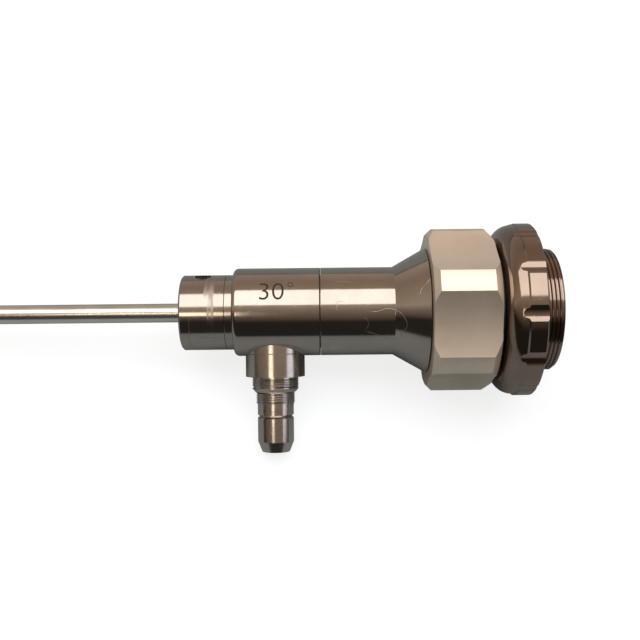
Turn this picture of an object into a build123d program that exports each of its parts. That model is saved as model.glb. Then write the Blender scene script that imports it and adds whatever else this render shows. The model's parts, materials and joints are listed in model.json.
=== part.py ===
from build123d import *
from math import asin, atan, atan2, cos, degrees, hypot, radians, sin, tan
import os

# Direct-coupling rigid endoscope, lying on a table with its light post to one side.
# The origin is the centre of the camera seat, on the optical axis. Stations along that
# axis count rearward, so everything forward of the seat has a negative station.
# All sizes are in millimetres and all angles in degrees.

# Clearances
seat_gap = 0.02
run_gap = 0.05
end_gap = 0.10

# Shaft and its optics
working_length = 160.0
shaft_od = 4.0
shaft_wall = 0.18
fibre_layer = 0.37
optic_wall = 0.15
view_angle = 30.0
window_glass = 0.4
prism_length = 2.6
objective_length = 2.0
rod_count = 6
rod_spacer = 3.0
root_height = 0.2
ferrule_height = 0.6
ferrule_length = 0.8

# Sheath collar and lock ring
collar_r = 7.85
collar_length = 9.2
collar_wall = 2.5
collar_chamfer = 0.35
collar_shell = 2.37
lock_ring_length = 1.6
lock_ring_chamfer = 0.12
spanner_hole_d = 3.3
spanner_hole_depth = 1.3
spanner_hole_setback = 4.5
spanner_hole_angle = 162.0

# Front body
body_r = 9.2
body_length = 17.75
body_edge = 1.0
body_front_wall = 3.0
holder_length = 2.7
spigot_step = 1.6
spigot_wall = 0.8
spigot_length = 5.85

# Ocular, carried in the body's spigot
ocular_setback = 4.05
ocular_cell_length = 6.5
ocular_cell_wall = 1.8
ocular_lip_height = 0.6
ocular_lip = 1.8
ocular_glass = 2.6
ocular_bulge = 0.7
ocular_ring = 1.4

# Light post, measured outward from the optical axis
post_setback = 9.35
boss_r = 6.2
boss_shoulder = 1.7
boss_height = 4.3
neck_depth = 0.35
neck_length = 0.3
upper_thread_r = 4.9
upper_thread_length = 1.95
relief_depth = 0.45
relief_length = 0.25
taper_length = 1.0
lower_thread_height = 0.29
lower_thread_length = 2.3
post_r = 3.78
post_neck_length = 2.2
snap_groove_depth = 0.42
snap_groove_length = 0.7
post_tip_length = 4.9
post_cone_length = 2.2
post_cone_step = 0.88
post_rim = 0.5
post_ferrule_wall = 0.7
post_ferrule_length = 6.0

# Seam that the front body turns at, ahead of the rear housing
seam_width = 0.3
seam_seal_depth = 0.45
nut_length = 1.5
nut_wall = 0.7
flange_length = 3.85

# Rear housing
housing_length = 15.0
housing_wall = 0.8
cone_length = 6.7
cone_shell = 4.1

# Barrel that carries the focus ring, the lens cell and the camera ring
barrel_shoulder = 1.0
barrel_spigot_step = 0.3
barrel_spigot_wall = 1.0
barrel_spigot_length = 4.8
barrel_lip = 1.0
barrel_overhang = 4.3

# Focus ring: a turned ring with six wide hollows for the fingers
ring_length = 13.3
ring_r = 17.0
ring_front_gap = 0.3
ring_front_chamfer = 1.15
ring_rear_chamfer = 1.5
hollow_count = 6
hollow_r = 31.5
hollow_depth = 2.0
hollow_angle = 19.2
ring_retainer_land = 2.3
ring_retainer_length = 0.55
seal_inset = 1.0
seal_cord_r = 0.4

# Lens cell and its travel
focus_travel = 1.5
cell_length = 8.4
cell_wall = 1.55
cell_lip = 0.8
cell_lip_height = 0.8
front_lens = 2.4
rear_lens = 2.0
lens_bulge = 0.6
lens_spacer = 1.4
lens_retainer = 1.2
lug_count = 3
lug_width = 4.0
lug_length = 5.0
lug_seat_depth = 0.4
lug_screw_r = 0.7
lug_screw_depth = 0.9
lug_screw_head_r = 1.3
lug_screw_head = 0.8
lug_screw_recess = 0.3

# Camera ring: scalloped grip and male camera thread
grip_length = 7.4
grip_r = 18.0
grip_round = 3.6
grip_step = 0.3
scallop_count = 12
scallop_r = 3.1
scallop_depth = 0.5
scallop_angle = 27.0
thread_r = 12.7
thread_length = 4.6
thread_chamfer = 0.4
thread_wall = 1.3
snap_ring_height = 0.8
snap_ring_groove = 0.3
snap_ring_length = 0.9
snap_ring_setback = 1.3
window_wall = 0.8
window_seat = 0.5
window_depth = 2.7
rear_glass = 1.5
window_ring = 1.0
window_ring_width = 1.1

# Stations along the optical axis
x_grip_front = -grip_length
x_retainer_rear = x_grip_front - end_gap
x_shoulder = x_retainer_rear - ring_retainer_length
x_ring_rear = x_shoulder - end_gap
x_ring_front = x_ring_rear - ring_length
x_cone_rear = x_ring_front - ring_front_gap
x_cone_front = x_cone_rear - cone_length
x_housing_front = x_cone_front - housing_length
x_body_rear = x_housing_front - seam_width
x_body_front = x_body_rear - body_length
x_lock_front = x_body_front - lock_ring_length
x_collar_front = x_lock_front - collar_length
x_collar_floor = x_collar_front + collar_wall
x_root = x_collar_front - ferrule_length
x_tip = x_collar_front - working_length
x_post = x_body_rear - post_setback
x_manifold = x_body_front + body_front_wall
x_ocular = x_body_rear - ocular_setback
x_holder = x_ocular - holder_length
x_spigot_end = x_body_rear + spigot_length
x_flange_rear = x_housing_front + flange_length
x_nut_front = x_flange_rear + end_gap
x_ring_mid = (x_ring_front + x_ring_rear) / 2

# Radii that follow from the sizes above
shaft_r = shaft_od / 2
shaft_bore_r = shaft_r - shaft_wall
optic_r = shaft_bore_r - fibre_layer
optic_bore_r = optic_r - optic_wall
ferrule_r = shaft_r + ferrule_height
nose_r = collar_r - collar_shell
root_r = shaft_r + root_height
nose_bore_r = root_r + seat_gap
collar_bore_r = nose_r + seat_gap
spigot_r = body_r - spigot_step
body_bore_r = spigot_r - spigot_wall
ocular_r = body_bore_r - ocular_cell_wall
ocular_lip_r = ocular_r - ocular_lip_height
housing_bore_r = body_r - housing_wall
post_stub_r = boss_r - boss_shoulder
neck_r = upper_thread_r - neck_depth
relief_r = upper_thread_r - relief_depth
lower_thread_r = post_r + lower_thread_height
post_end_r = post_r - post_cone_step
post_ferrule_r = post_end_r - post_rim
fibre_r = post_ferrule_r - post_ferrule_wall
snap_pocket_r = thread_r - thread_wall
snap_ring_r = snap_pocket_r - end_gap
barrel_rear_r = snap_ring_r - snap_ring_height
barrel_r = barrel_rear_r + barrel_shoulder
window_r = barrel_rear_r - window_wall
window_ring_bore_r = window_r - window_ring_width
barrel_bore_r = window_r - window_seat
barrel_spigot_r = barrel_bore_r - barrel_spigot_step
barrel_spigot_bore_r = barrel_spigot_r - barrel_spigot_wall
cone_end_r = barrel_spigot_r + cone_shell
ring_bore_r = barrel_r + run_gap
ring_retainer_r = barrel_r + ring_retainer_land
grip_bore_r = barrel_rear_r + run_gap
cell_r = barrel_bore_r - run_gap
cell_bore_r = cell_r - cell_wall
cell_lip_r = cell_bore_r - cell_lip_height
lug_foot_r = cell_r - lug_seat_depth
lug_screw_end_r = cell_r - lug_screw_depth

# Rest on the table: the shaft's tip and the focus ring or the grip set the tilt, and then
# the instrument rolls until the end of its light post touches too.
ring_tilt = atan((ring_r - shaft_r) / (x_ring_front + ring_front_chamfer - x_tip))
grip_tilt = atan((grip_r - shaft_r) / (-grip_step - x_tip))
tilt = max(ring_tilt, grip_tilt)
post_height = shaft_r * cos(tilt) + (x_post - x_tip) * sin(tilt)
boss_end = body_r + boss_height
neck_end = boss_end + neck_length
upper_thread_end = neck_end + upper_thread_length
relief_end = upper_thread_end + relief_length
taper_end = relief_end + taper_length
lower_thread_end = taper_end + lower_thread_length
snap_start = lower_thread_end + post_neck_length
snap_end = snap_start + snap_groove_length
post_cone_start = snap_end + post_tip_length
post_end = post_cone_start + post_cone_length


def dip_at(reach, radius):
    """Return how far the post dips below level when its circle at reach meets the table."""
    return asin(post_height / hypot(reach, radius)) - atan2(radius, reach)


dip = min(dip_at(post_end, post_end_r), dip_at(post_cone_start, post_r))
roll = degrees(asin(sin(dip) / cos(tilt)))

# Planes and axes of the tilted instrument
rearward = Vector(cos(tilt), 0, sin(tilt))
upward = Vector(-sin(tilt), 0, cos(tilt))
sideways = Vector(0, 1, 0)
origin = Vector(0, 0, 0)
meridian = Plane(origin=origin, x_dir=rearward, z_dir=-sideways)
optical_axis = Axis(origin, rearward)


def around(angle):
    """Return the unit vector at an angle from the light post, about the optical axis."""
    turn = radians(180 + roll - angle)
    return sideways * cos(turn) + upward * sin(turn)


def groove_plane(angle, reach, station):
    """Return the plane square to the optical axis whose origin is at an angle and a reach from it."""
    return Plane(
        origin=rearward * station + around(angle) * reach,
        x_dir=sideways,
        z_dir=rearward,
    )


outward = around(0)
post_plane = Plane(origin=rearward * x_post, x_dir=outward, z_dir=outward.cross(rearward))
post_axis = Axis(rearward * x_post, outward)
view = -(rearward * cos(radians(view_angle)) + outward * sin(radians(view_angle)))
tip_plane = Plane(origin=rearward * x_tip, x_dir=view.cross(outward), z_dir=view)
tip_margin = shaft_r * tan(radians(view_angle)) + end_gap


def profile(points, plane=meridian):
    """Return the face of a turned piece from its (station, radius) corners."""
    with BuildSketch(plane) as sketch:
        with BuildLine():
            Polyline(*points, close=True)
        make_face()
    return sketch.sketch


def ring(start, end, inner, outer, plane=meridian):
    """Return the face of a plain ring, or of a rod where inner is 0."""
    return profile([(start, inner), (end, inner), (end, outer), (start, outer)], plane)


def lens(start, end, radius, bulge):
    """Return the face of a lens with two convex sides that stay inside start and end."""
    curve = (radius**2 + bulge**2) / (2 * bulge)
    half = asin(radius / curve) / 2
    middle_x = curve * (1 - cos(half))
    middle_r = curve * sin(half)
    with BuildSketch(meridian) as sketch:
        with BuildLine():
            ThreePointArc((start + bulge, radius), (start + middle_x, middle_r), (start, 0))
            Line((start, 0), (end, 0))
            ThreePointArc((end, 0), (end - middle_x, middle_r), (end - bulge, radius))
            Line((end - bulge, radius), (start + bulge, radius))
        make_face()
    return sketch.sketch


def keep(part, name):
    """Label a finished piece and write its file."""
    part.label = name
    export_step(part, f"parts/{name}.step")


os.makedirs("parts", exist_ok=True)

# Shaft: steel tube with a thicker root, illumination fibres, optical tube and its glass

with BuildPart() as outer_tube:
    revolve(ring(x_tip - tip_margin, x_manifold, shaft_bore_r, shaft_r), axis=optical_axis)
    revolve(ring(x_root, x_manifold, shaft_bore_r, root_r), axis=optical_axis)
    split(bisect_by=tip_plane, keep=Keep.BOTTOM)
keep(outer_tube.part, "outer_tube")

with BuildPart() as shaft_fibres:
    revolve(
        ring(x_tip - tip_margin, x_manifold, optic_r + seat_gap, shaft_bore_r - seat_gap),
        axis=optical_axis,
    )
    split(bisect_by=tip_plane, keep=Keep.BOTTOM)
keep(shaft_fibres.part, "shaft_fibres")

with BuildPart() as inner_tube:
    revolve(ring(x_tip - tip_margin, x_ocular, optic_bore_r, optic_r), axis=optical_axis)
    split(bisect_by=tip_plane, keep=Keep.BOTTOM)
keep(inner_tube.part, "inner_tube")

glass_r = optic_bore_r - seat_gap
window_back = tip_plane.offset(-window_glass)
x_prism_rear = x_tip + tip_margin + prism_length
x_objective_rear = x_prism_rear + objective_length

with BuildPart() as distal_window:
    revolve(ring(x_tip - tip_margin, x_prism_rear, 0, glass_r), axis=optical_axis)
    split(bisect_by=tip_plane, keep=Keep.BOTTOM)
    split(bisect_by=window_back, keep=Keep.TOP)
keep(distal_window.part, "distal_window")

with BuildPart() as prism:
    revolve(ring(x_tip - tip_margin, x_prism_rear, 0, glass_r), axis=optical_axis)
    split(bisect_by=window_back, keep=Keep.BOTTOM)
keep(prism.part, "prism")

with BuildPart() as objective_lens:
    revolve(ring(x_prism_rear, x_objective_rear, 0, glass_r), axis=optical_axis)
keep(objective_lens.part, "objective_lens")

rod_pitch = (x_ocular - rod_spacer - x_objective_rear) / rod_count
rod_starts = [x_objective_rear + rod_spacer + i * rod_pitch for i in range(rod_count)]

with BuildPart() as rod_lenses:
    for start in rod_starts:
        revolve(ring(start, start + rod_pitch - rod_spacer, 0, glass_r), axis=optical_axis)
keep(rod_lenses.part, "rod_lenses")

with BuildPart() as rod_spacers:
    for start in [*rod_starts, x_ocular]:
        revolve(ring(start - rod_spacer, start, glass_r - optic_wall, glass_r), axis=optical_axis)
keep(rod_spacers.part, "rod_spacers")

with BuildPart() as shaft_ferrule:
    revolve(
        profile(
            [
                (x_collar_front, nose_bore_r),
                (x_collar_front, ferrule_r),
                (x_collar_front - ferrule_length / 2, ferrule_r),
                (x_root, nose_bore_r),
            ]
        ),
        axis=optical_axis,
    )
keep(shaft_ferrule.part, "shaft_ferrule")

# Collar group: sheath collar with its spanner hole, and the narrow lock ring behind it

spanner_plane = Plane(
    origin=rearward * (x_collar_front + spanner_hole_setback)
    + around(spanner_hole_angle) * (collar_r - spanner_hole_depth),
    x_dir=rearward,
    z_dir=around(spanner_hole_angle),
)

with BuildPart() as sheath_collar:
    revolve(
        profile(
            [
                (x_collar_front, nose_bore_r),
                (x_collar_front, collar_r - collar_chamfer),
                (x_collar_front + collar_chamfer, collar_r),
                (x_lock_front, collar_r),
                (x_lock_front, collar_bore_r),
                (x_collar_floor, collar_bore_r),
                (x_collar_floor, nose_bore_r),
            ]
        ),
        axis=optical_axis,
    )
    with BuildSketch(spanner_plane):
        Circle(spanner_hole_d / 2)
    extrude(amount=2 * spanner_hole_depth, mode=Mode.SUBTRACT)
keep(sheath_collar.part, "sheath_collar")

with BuildPart() as lock_ring:
    revolve(
        profile(
            [
                (x_lock_front, collar_bore_r),
                (x_lock_front, collar_r - lock_ring_chamfer),
                (x_lock_front + lock_ring_chamfer, collar_r),
                (x_body_front, collar_r),
                (x_body_front, collar_bore_r),
            ]
        ),
        axis=optical_axis,
    )
keep(lock_ring.part, "lock_ring")

# Front body: nose, shell with the light post's port, and the spigot it turns on

with BuildPart() as front_body:
    with BuildSketch(meridian):
        with BuildLine():
            Polyline(
                (x_body_front, body_r - body_edge),
                (x_body_front, nose_r),
                (x_collar_floor, nose_r),
                (x_collar_floor, nose_bore_r),
                (x_manifold, nose_bore_r),
                (x_manifold, body_bore_r),
                (x_spigot_end, body_bore_r),
                (x_spigot_end, spigot_r),
                (x_body_rear, spigot_r),
                (x_body_rear, body_r),
                (x_body_front + body_edge, body_r),
            )
            RadiusArc(
                (x_body_front + body_edge, body_r), (x_body_front, body_r - body_edge), -body_edge
            )
        make_face()
    revolve(axis=optical_axis)
    revolve(
        ring(0, body_r + body_edge, 0, post_stub_r + seat_gap, post_plane),
        axis=post_axis,
        mode=Mode.SUBTRACT,
    )
keep(front_body.part, "front_body")

# Light post: a saddle-ended boss, two threaded seats and the plug end

with BuildPart() as light_post:
    revolve(
        profile(
            [
                (0, 0),
                (0, boss_r),
                (boss_end, boss_r),
                (boss_end, neck_r),
                (neck_end, neck_r),
                (neck_end, upper_thread_r),
                (upper_thread_end, upper_thread_r),
                (upper_thread_end, relief_r),
                (relief_end, relief_r),
                (relief_end, upper_thread_r),
                (taper_end, lower_thread_r),
                (lower_thread_end, lower_thread_r),
                (lower_thread_end, post_r),
                (snap_start, post_r),
                (snap_start + snap_groove_length / 2, post_r - snap_groove_depth),
                (snap_end, post_r),
                (post_cone_start, post_r),
                (post_end, post_end_r),
                (post_end, 0),
            ],
            post_plane,
        ),
        axis=post_axis,
    )
    revolve(
        ring(x_collar_front, x_housing_front, 0, body_r + seat_gap),
        axis=optical_axis,
        mode=Mode.SUBTRACT,
    )
    revolve(ring(0, boss_end, 0, post_stub_r, post_plane), axis=post_axis)
    revolve(ring(x_collar_front, x_housing_front, 0, body_bore_r), axis=optical_axis, mode=Mode.SUBTRACT)
    revolve(ring(0, post_end, 0, fibre_r + seat_gap, post_plane), axis=post_axis, mode=Mode.SUBTRACT)
    revolve(
        ring(post_end - post_ferrule_length, post_end, 0, post_ferrule_r, post_plane),
        axis=post_axis,
        mode=Mode.SUBTRACT,
    )
keep(light_post.part, "light_post")

with BuildPart() as post_ferrule:
    revolve(
        ring(
            post_end - post_ferrule_length,
            post_end,
            fibre_r + seat_gap,
            post_ferrule_r - seat_gap,
            post_plane,
        ),
        axis=post_axis,
    )
keep(post_ferrule.part, "post_ferrule")

with BuildPart() as post_fibres:
    revolve(ring(0, post_end, 0, fibre_r, post_plane), axis=post_axis)
    revolve(ring(x_collar_front, x_housing_front, 0, body_bore_r), axis=optical_axis, mode=Mode.SUBTRACT)
keep(post_fibres.part, "post_fibres")

with BuildPart() as fibre_manifold:
    revolve(ring(x_manifold, x_holder, optic_r + seat_gap, body_bore_r - seat_gap), axis=optical_axis)
keep(fibre_manifold.part, "fibre_manifold")

with BuildPart() as tube_holder:
    revolve(ring(x_holder, x_ocular, optic_r + seat_gap, body_bore_r - seat_gap), axis=optical_axis)
keep(tube_holder.part, "tube_holder")

# Ocular: lens held between the cell's lip and a ring

x_ocular_lens = x_ocular + ocular_lip
x_ocular_ring = x_ocular_lens + ocular_glass

with BuildPart() as ocular_cell:
    revolve(
        profile(
            [
                (x_ocular, ocular_lip_r),
                (x_ocular, body_bore_r - seat_gap),
                (x_ocular + ocular_cell_length, body_bore_r - seat_gap),
                (x_ocular + ocular_cell_length, ocular_r),
                (x_ocular_lens, ocular_r),
                (x_ocular_lens, ocular_lip_r),
            ]
        ),
        axis=optical_axis,
    )
keep(ocular_cell.part, "ocular_cell")

with BuildPart() as ocular_lens:
    revolve(lens(x_ocular_lens, x_ocular_ring, ocular_r - seat_gap, ocular_bulge), axis=optical_axis)
keep(ocular_lens.part, "ocular_lens")

with BuildPart() as ocular_retainer:
    revolve(
        ring(x_ocular_ring, x_ocular_ring + ocular_ring, ocular_lip_r, ocular_r - seat_gap),
        axis=optical_axis,
    )
keep(ocular_retainer.part, "ocular_retainer")

# Seam: a dark seal ring, and the nut that holds the body's spigot in the housing

with BuildPart() as seam_seal:
    revolve(
        ring(x_body_rear, x_housing_front - run_gap, spigot_r + seat_gap, body_r - seam_seal_depth),
        axis=optical_axis,
    )
keep(seam_seal.part, "seam_seal")

with BuildPart() as spigot_nut:
    revolve(
        ring(x_nut_front, x_nut_front + nut_length, spigot_r + seat_gap, spigot_r + nut_wall),
        axis=optical_axis,
    )
keep(spigot_nut.part, "spigot_nut")

# Rear housing: cylinder with an inner flange, opening into the cone

with BuildPart() as rear_housing:
    revolve(
        profile(
            [
                (x_housing_front, spigot_r + run_gap),
                (x_housing_front, body_r),
                (x_cone_front, body_r),
                (x_cone_rear, cone_end_r),
                (x_cone_rear, barrel_spigot_r + seat_gap),
                (x_cone_rear - barrel_spigot_length, barrel_spigot_r + seat_gap),
                (x_cone_rear - barrel_spigot_length, housing_bore_r),
                (x_flange_rear, housing_bore_r),
                (x_flange_rear, spigot_r + run_gap),
            ]
        ),
        axis=optical_axis,
    )
keep(rear_housing.part, "rear_housing")

# Barrel: front spigot, slotted middle for the lens lugs, and the rear journal

slot_length = lug_length + 2 * focus_travel + 4 * end_gap
lug_angles = [60 + i * 360 / lug_count for i in range(lug_count)]
seal_centre_r = barrel_r + seat_gap - seal_cord_r
seal_groove_r = seal_centre_r - seal_cord_r - seat_gap
seal_half_width = seal_cord_r + end_gap
seal_stations = [x_ring_front + seal_inset, x_ring_rear - seal_inset]
journal_seal_r = barrel_rear_r + seat_gap - seal_cord_r
journal_groove_r = journal_seal_r - seal_cord_r - seat_gap
x_journal_seal = x_grip_front / 2
x_snap = barrel_overhang - snap_ring_setback
x_window = barrel_overhang - window_depth


def lug_plane(angle, radius):
    """Return the plane square to a lug's radius, through the middle of the focus travel."""
    return Plane(
        origin=rearward * x_ring_mid + around(angle) * radius,
        x_dir=rearward,
        z_dir=around(angle),
    )


with BuildPart() as barrel:
    revolve(
        profile(
            [
                (x_cone_rear - barrel_spigot_length, barrel_spigot_bore_r),
                (x_cone_rear - barrel_spigot_length, barrel_spigot_r),
                (x_cone_rear, barrel_spigot_r),
                (x_cone_rear, barrel_r),
                (x_shoulder, barrel_r),
                (x_shoulder, barrel_rear_r),
                (barrel_overhang, barrel_rear_r),
                (barrel_overhang, window_r),
                (x_window, window_r),
                (x_window, barrel_bore_r),
                (x_cone_rear + barrel_lip, barrel_bore_r),
                (x_cone_rear + barrel_lip, barrel_spigot_bore_r),
            ]
        ),
        axis=optical_axis,
    )
    for station in seal_stations:
        revolve(
            ring(station - seal_half_width, station + seal_half_width, seal_groove_r, cone_end_r),
            axis=optical_axis,
            mode=Mode.SUBTRACT,
        )
    revolve(
        ring(
            x_journal_seal - seal_half_width,
            x_journal_seal + seal_half_width,
            journal_groove_r,
            barrel_r,
        ),
        axis=optical_axis,
        mode=Mode.SUBTRACT,
    )
    revolve(
        ring(x_snap, x_snap + snap_ring_length, barrel_rear_r - snap_ring_groove, barrel_r),
        axis=optical_axis,
        mode=Mode.SUBTRACT,
    )
    for angle in lug_angles:
        with BuildSketch(lug_plane(angle, lug_foot_r)):
            Rectangle(slot_length, lug_width + 2 * run_gap)
        extrude(amount=barrel_r, mode=Mode.SUBTRACT)
keep(barrel.part, "barrel")

with BuildPart() as ring_seals:
    for station in seal_stations:
        with BuildSketch(meridian):
            with Locations((station, seal_centre_r)):
                Circle(seal_cord_r)
        revolve(axis=optical_axis)
keep(ring_seals.part, "ring_seals")

with BuildPart() as journal_seal:
    with BuildSketch(meridian):
        with Locations((x_journal_seal, journal_seal_r)):
            Circle(seal_cord_r)
    revolve(axis=optical_axis)
keep(journal_seal.part, "journal_seal")

with BuildPart() as ring_retainer:
    revolve(
        ring(x_shoulder, x_retainer_rear, barrel_rear_r + seat_gap, ring_retainer_r),
        axis=optical_axis,
    )
keep(ring_retainer.part, "ring_retainer")

with BuildPart() as snap_ring:
    revolve(
        ring(
            x_snap,
            x_snap + snap_ring_length,
            barrel_rear_r - snap_ring_groove + seat_gap,
            snap_ring_r,
        ),
        axis=optical_axis,
    )
keep(snap_ring.part, "snap_ring")

with BuildPart() as rear_window:
    revolve(ring(x_window, x_window + rear_glass, 0, window_r - seat_gap), axis=optical_axis)
keep(rear_window.part, "rear_window")

with BuildPart() as window_retainer:
    revolve(
        ring(
            x_window + rear_glass,
            x_window + rear_glass + window_ring,
            window_ring_bore_r,
            window_r - seat_gap,
        ),
        axis=optical_axis,
    )
keep(window_retainer.part, "window_retainer")

# Focus ring: turned, with six hollows along it

with BuildPart() as focus_ring:
    revolve(
        profile(
            [
                (x_ring_front, ring_bore_r),
                (x_ring_front, ring_r - ring_front_chamfer),
                (x_ring_front + ring_front_chamfer, ring_r),
                (x_ring_rear - ring_rear_chamfer, ring_r),
                (x_ring_rear, ring_r - ring_rear_chamfer),
                (x_ring_rear, ring_bore_r),
            ]
        ),
        axis=optical_axis,
    )
    for i in range(hollow_count):
        angle = hollow_angle + i * 360 / hollow_count
        with BuildSketch(groove_plane(angle, ring_r - hollow_depth + hollow_r, x_ring_front)):
            Circle(hollow_r)
        extrude(amount=ring_length, mode=Mode.SUBTRACT)
keep(focus_ring.part, "focus_ring")

# Lens cell: carries two lenses, and follows the focus ring by lugs through the barrel's slots

x_cell_front = x_ring_mid - cell_length / 2
x_cell_rear = x_cell_front + cell_length
x_front_lens = x_cell_front + cell_lip
x_lens_spacer = x_front_lens + front_lens
x_rear_lens = x_lens_spacer + lens_spacer
x_lens_retainer = x_rear_lens + rear_lens
cell_glass_r = cell_bore_r - seat_gap
lug_head_r = barrel_r - lug_screw_recess

with BuildPart() as lens_cell:
    revolve(
        profile(
            [
                (x_cell_front, cell_lip_r),
                (x_cell_front, cell_r),
                (x_cell_rear, cell_r),
                (x_cell_rear, cell_bore_r),
                (x_front_lens, cell_bore_r),
                (x_front_lens, cell_lip_r),
            ]
        ),
        axis=optical_axis,
    )
    for angle in lug_angles:
        with BuildSketch(lug_plane(angle, lug_foot_r)):
            Rectangle(lug_length + 2 * seat_gap, lug_width + 2 * seat_gap)
        extrude(amount=lug_foot_r, mode=Mode.SUBTRACT)
        with BuildSketch(lug_plane(angle, lug_screw_end_r)):
            Circle(lug_screw_r + seat_gap)
        extrude(amount=lug_foot_r, mode=Mode.SUBTRACT)
keep(lens_cell.part, "lens_cell")

with BuildPart() as focus_lugs:
    for angle in lug_angles:
        with BuildSketch(lug_plane(angle, lug_foot_r)):
            Rectangle(lug_length, lug_width)
        extrude(amount=barrel_r)
    revolve(
        ring(x_cell_front, x_cell_rear, 0, barrel_r),
        axis=optical_axis,
        mode=Mode.INTERSECT,
    )
    for angle in lug_angles:
        with BuildSketch(lug_plane(angle, 0)):
            Circle(lug_screw_r + seat_gap)
        extrude(amount=barrel_r, mode=Mode.SUBTRACT)
        with BuildSketch(lug_plane(angle, lug_head_r - lug_screw_head)):
            Circle(lug_screw_head_r + seat_gap)
        extrude(amount=barrel_r, mode=Mode.SUBTRACT)
keep(focus_lugs.part, "focus_lugs")

with BuildPart() as lug_screws:
    for angle in lug_angles:
        with BuildSketch(lug_plane(angle, lug_screw_end_r)):
            Circle(lug_screw_r)
        extrude(amount=lug_head_r - lug_screw_end_r)
        with BuildSketch(lug_plane(angle, lug_head_r - lug_screw_head)):
            Circle(lug_screw_head_r)
        extrude(amount=lug_screw_head)
keep(lug_screws.part, "lug_screws")

with BuildPart() as focus_lens_front:
    revolve(lens(x_front_lens, x_lens_spacer, cell_glass_r, lens_bulge), axis=optical_axis)
keep(focus_lens_front.part, "focus_lens_front")

with BuildPart() as focus_lens_spacer:
    revolve(ring(x_lens_spacer, x_rear_lens, cell_lip_r, cell_glass_r), axis=optical_axis)
keep(focus_lens_spacer.part, "focus_lens_spacer")

with BuildPart() as focus_lens_rear:
    revolve(lens(x_rear_lens, x_lens_retainer, cell_glass_r, lens_bulge), axis=optical_axis)
keep(focus_lens_rear.part, "focus_lens_rear")

with BuildPart() as focus_lens_retainer:
    revolve(
        ring(x_lens_retainer, x_lens_retainer + lens_retainer, cell_lip_r, cell_glass_r),
        axis=optical_axis,
    )
keep(focus_lens_retainer.part, "focus_lens_retainer")

# Camera ring: rounded front band, scalloped grip, seat face and the male thread

round_start_r = grip_r - grip_step - grip_round
round_end_x = x_grip_front + grip_round

with BuildPart() as camera_ring:
    with BuildSketch(meridian):
        with BuildLine():
            Polyline(
                (round_end_x, grip_r - grip_step),
                (round_end_x + grip_step, grip_r),
                (-grip_step, grip_r),
                (0, grip_r - grip_step),
                (0, thread_r),
                (thread_length - thread_chamfer, thread_r),
                (thread_length, thread_r - thread_chamfer),
                (thread_length, snap_pocket_r),
                (x_snap - end_gap, snap_pocket_r),
                (x_snap - end_gap, grip_bore_r),
                (x_grip_front, grip_bore_r),
                (x_grip_front, round_start_r),
            )
            RadiusArc(
                (x_grip_front, round_start_r), (round_end_x, grip_r - grip_step), grip_round
            )
        make_face()
    revolve(axis=optical_axis)
    for i in range(scallop_count):
        angle = scallop_angle + i * 360 / scallop_count
        with BuildSketch(groove_plane(angle, grip_r - scallop_depth + scallop_r, x_grip_front)):
            Circle(scallop_r)
        extrude(amount=grip_length, mode=Mode.SUBTRACT)
keep(camera_ring.part, "camera_ring")
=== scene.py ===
import json
import math

import bmesh
import bpy
from bpy.props import FloatProperty, FloatVectorProperty, IntProperty, PointerProperty
from mathutils import Matrix, Vector


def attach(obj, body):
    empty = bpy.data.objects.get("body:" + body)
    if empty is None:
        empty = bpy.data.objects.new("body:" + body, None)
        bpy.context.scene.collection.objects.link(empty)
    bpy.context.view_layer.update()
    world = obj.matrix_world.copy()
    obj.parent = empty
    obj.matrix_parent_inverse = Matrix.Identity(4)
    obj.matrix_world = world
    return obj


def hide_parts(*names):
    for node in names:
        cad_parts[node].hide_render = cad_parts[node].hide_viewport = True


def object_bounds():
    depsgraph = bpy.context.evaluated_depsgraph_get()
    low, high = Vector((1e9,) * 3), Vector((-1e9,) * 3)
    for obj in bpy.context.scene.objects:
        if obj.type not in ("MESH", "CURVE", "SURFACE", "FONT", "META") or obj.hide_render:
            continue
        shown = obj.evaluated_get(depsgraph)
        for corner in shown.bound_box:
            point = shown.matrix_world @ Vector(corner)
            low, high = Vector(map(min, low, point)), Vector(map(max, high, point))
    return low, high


bl_info = {
    "name": "Rigid Endoscope",
    "version": (1, 0, 0),
    "blender": (4, 5, 0),
    "location": "View3D > Sidebar > Endoscope",
    "description": "Finishes a direct-coupling rigid endoscope and lights it on a white table",
    "category": "Object",
}

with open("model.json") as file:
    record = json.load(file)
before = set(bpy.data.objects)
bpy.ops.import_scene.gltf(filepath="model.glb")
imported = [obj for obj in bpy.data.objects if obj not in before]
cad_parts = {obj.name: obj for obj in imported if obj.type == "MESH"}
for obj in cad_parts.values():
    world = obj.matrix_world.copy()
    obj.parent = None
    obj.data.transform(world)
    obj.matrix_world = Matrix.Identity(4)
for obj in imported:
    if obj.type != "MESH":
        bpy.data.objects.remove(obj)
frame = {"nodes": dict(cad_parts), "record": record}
CAD_BOX = [list(corner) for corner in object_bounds()]
MM = 0.001
FULL_TURN = 2 * math.pi

# How near, in millimetres, a CAD corner has to be to count as lying on a plane or a wall.
NEAR = 0.01
# The clearance, in millimetres, between the post and the body that it is set in.
SEAT_GAP = 0.01

# The bench frame: x runs rearward along the optical axis, y runs out along the light post,
# and both are in millimetres from the camera seat. Pieces are made there and then laid down.
mounts = {mount["name"]: mount for mount in frame["record"]["mounts"]}
SEAT = Vector(mounts["camera_thread"]["pos_m"])
REARWARD = Vector(mounts["camera_thread"]["axis"]).normalized()
OUTWARD = Vector(mounts["light_cable_post"]["axis"]).normalized()
UNDER = REARWARD.cross(OUTWARD)
BENCH_TURN = Matrix((REARWARD, OUTWARD, UNDER)).transposed()
LAY_DOWN = Matrix.Translation(SEAT) @ BENCH_TURN.to_4x4() @ Matrix.Scale(MM, 4)
TO_BENCH = LAY_DOWN.inverted()


def bench_points(node):
    """Return the corners of a CAD node in the bench frame."""
    return [TO_BENCH @ vertex.co for vertex in frame["nodes"][node].data.vertices]


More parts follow.
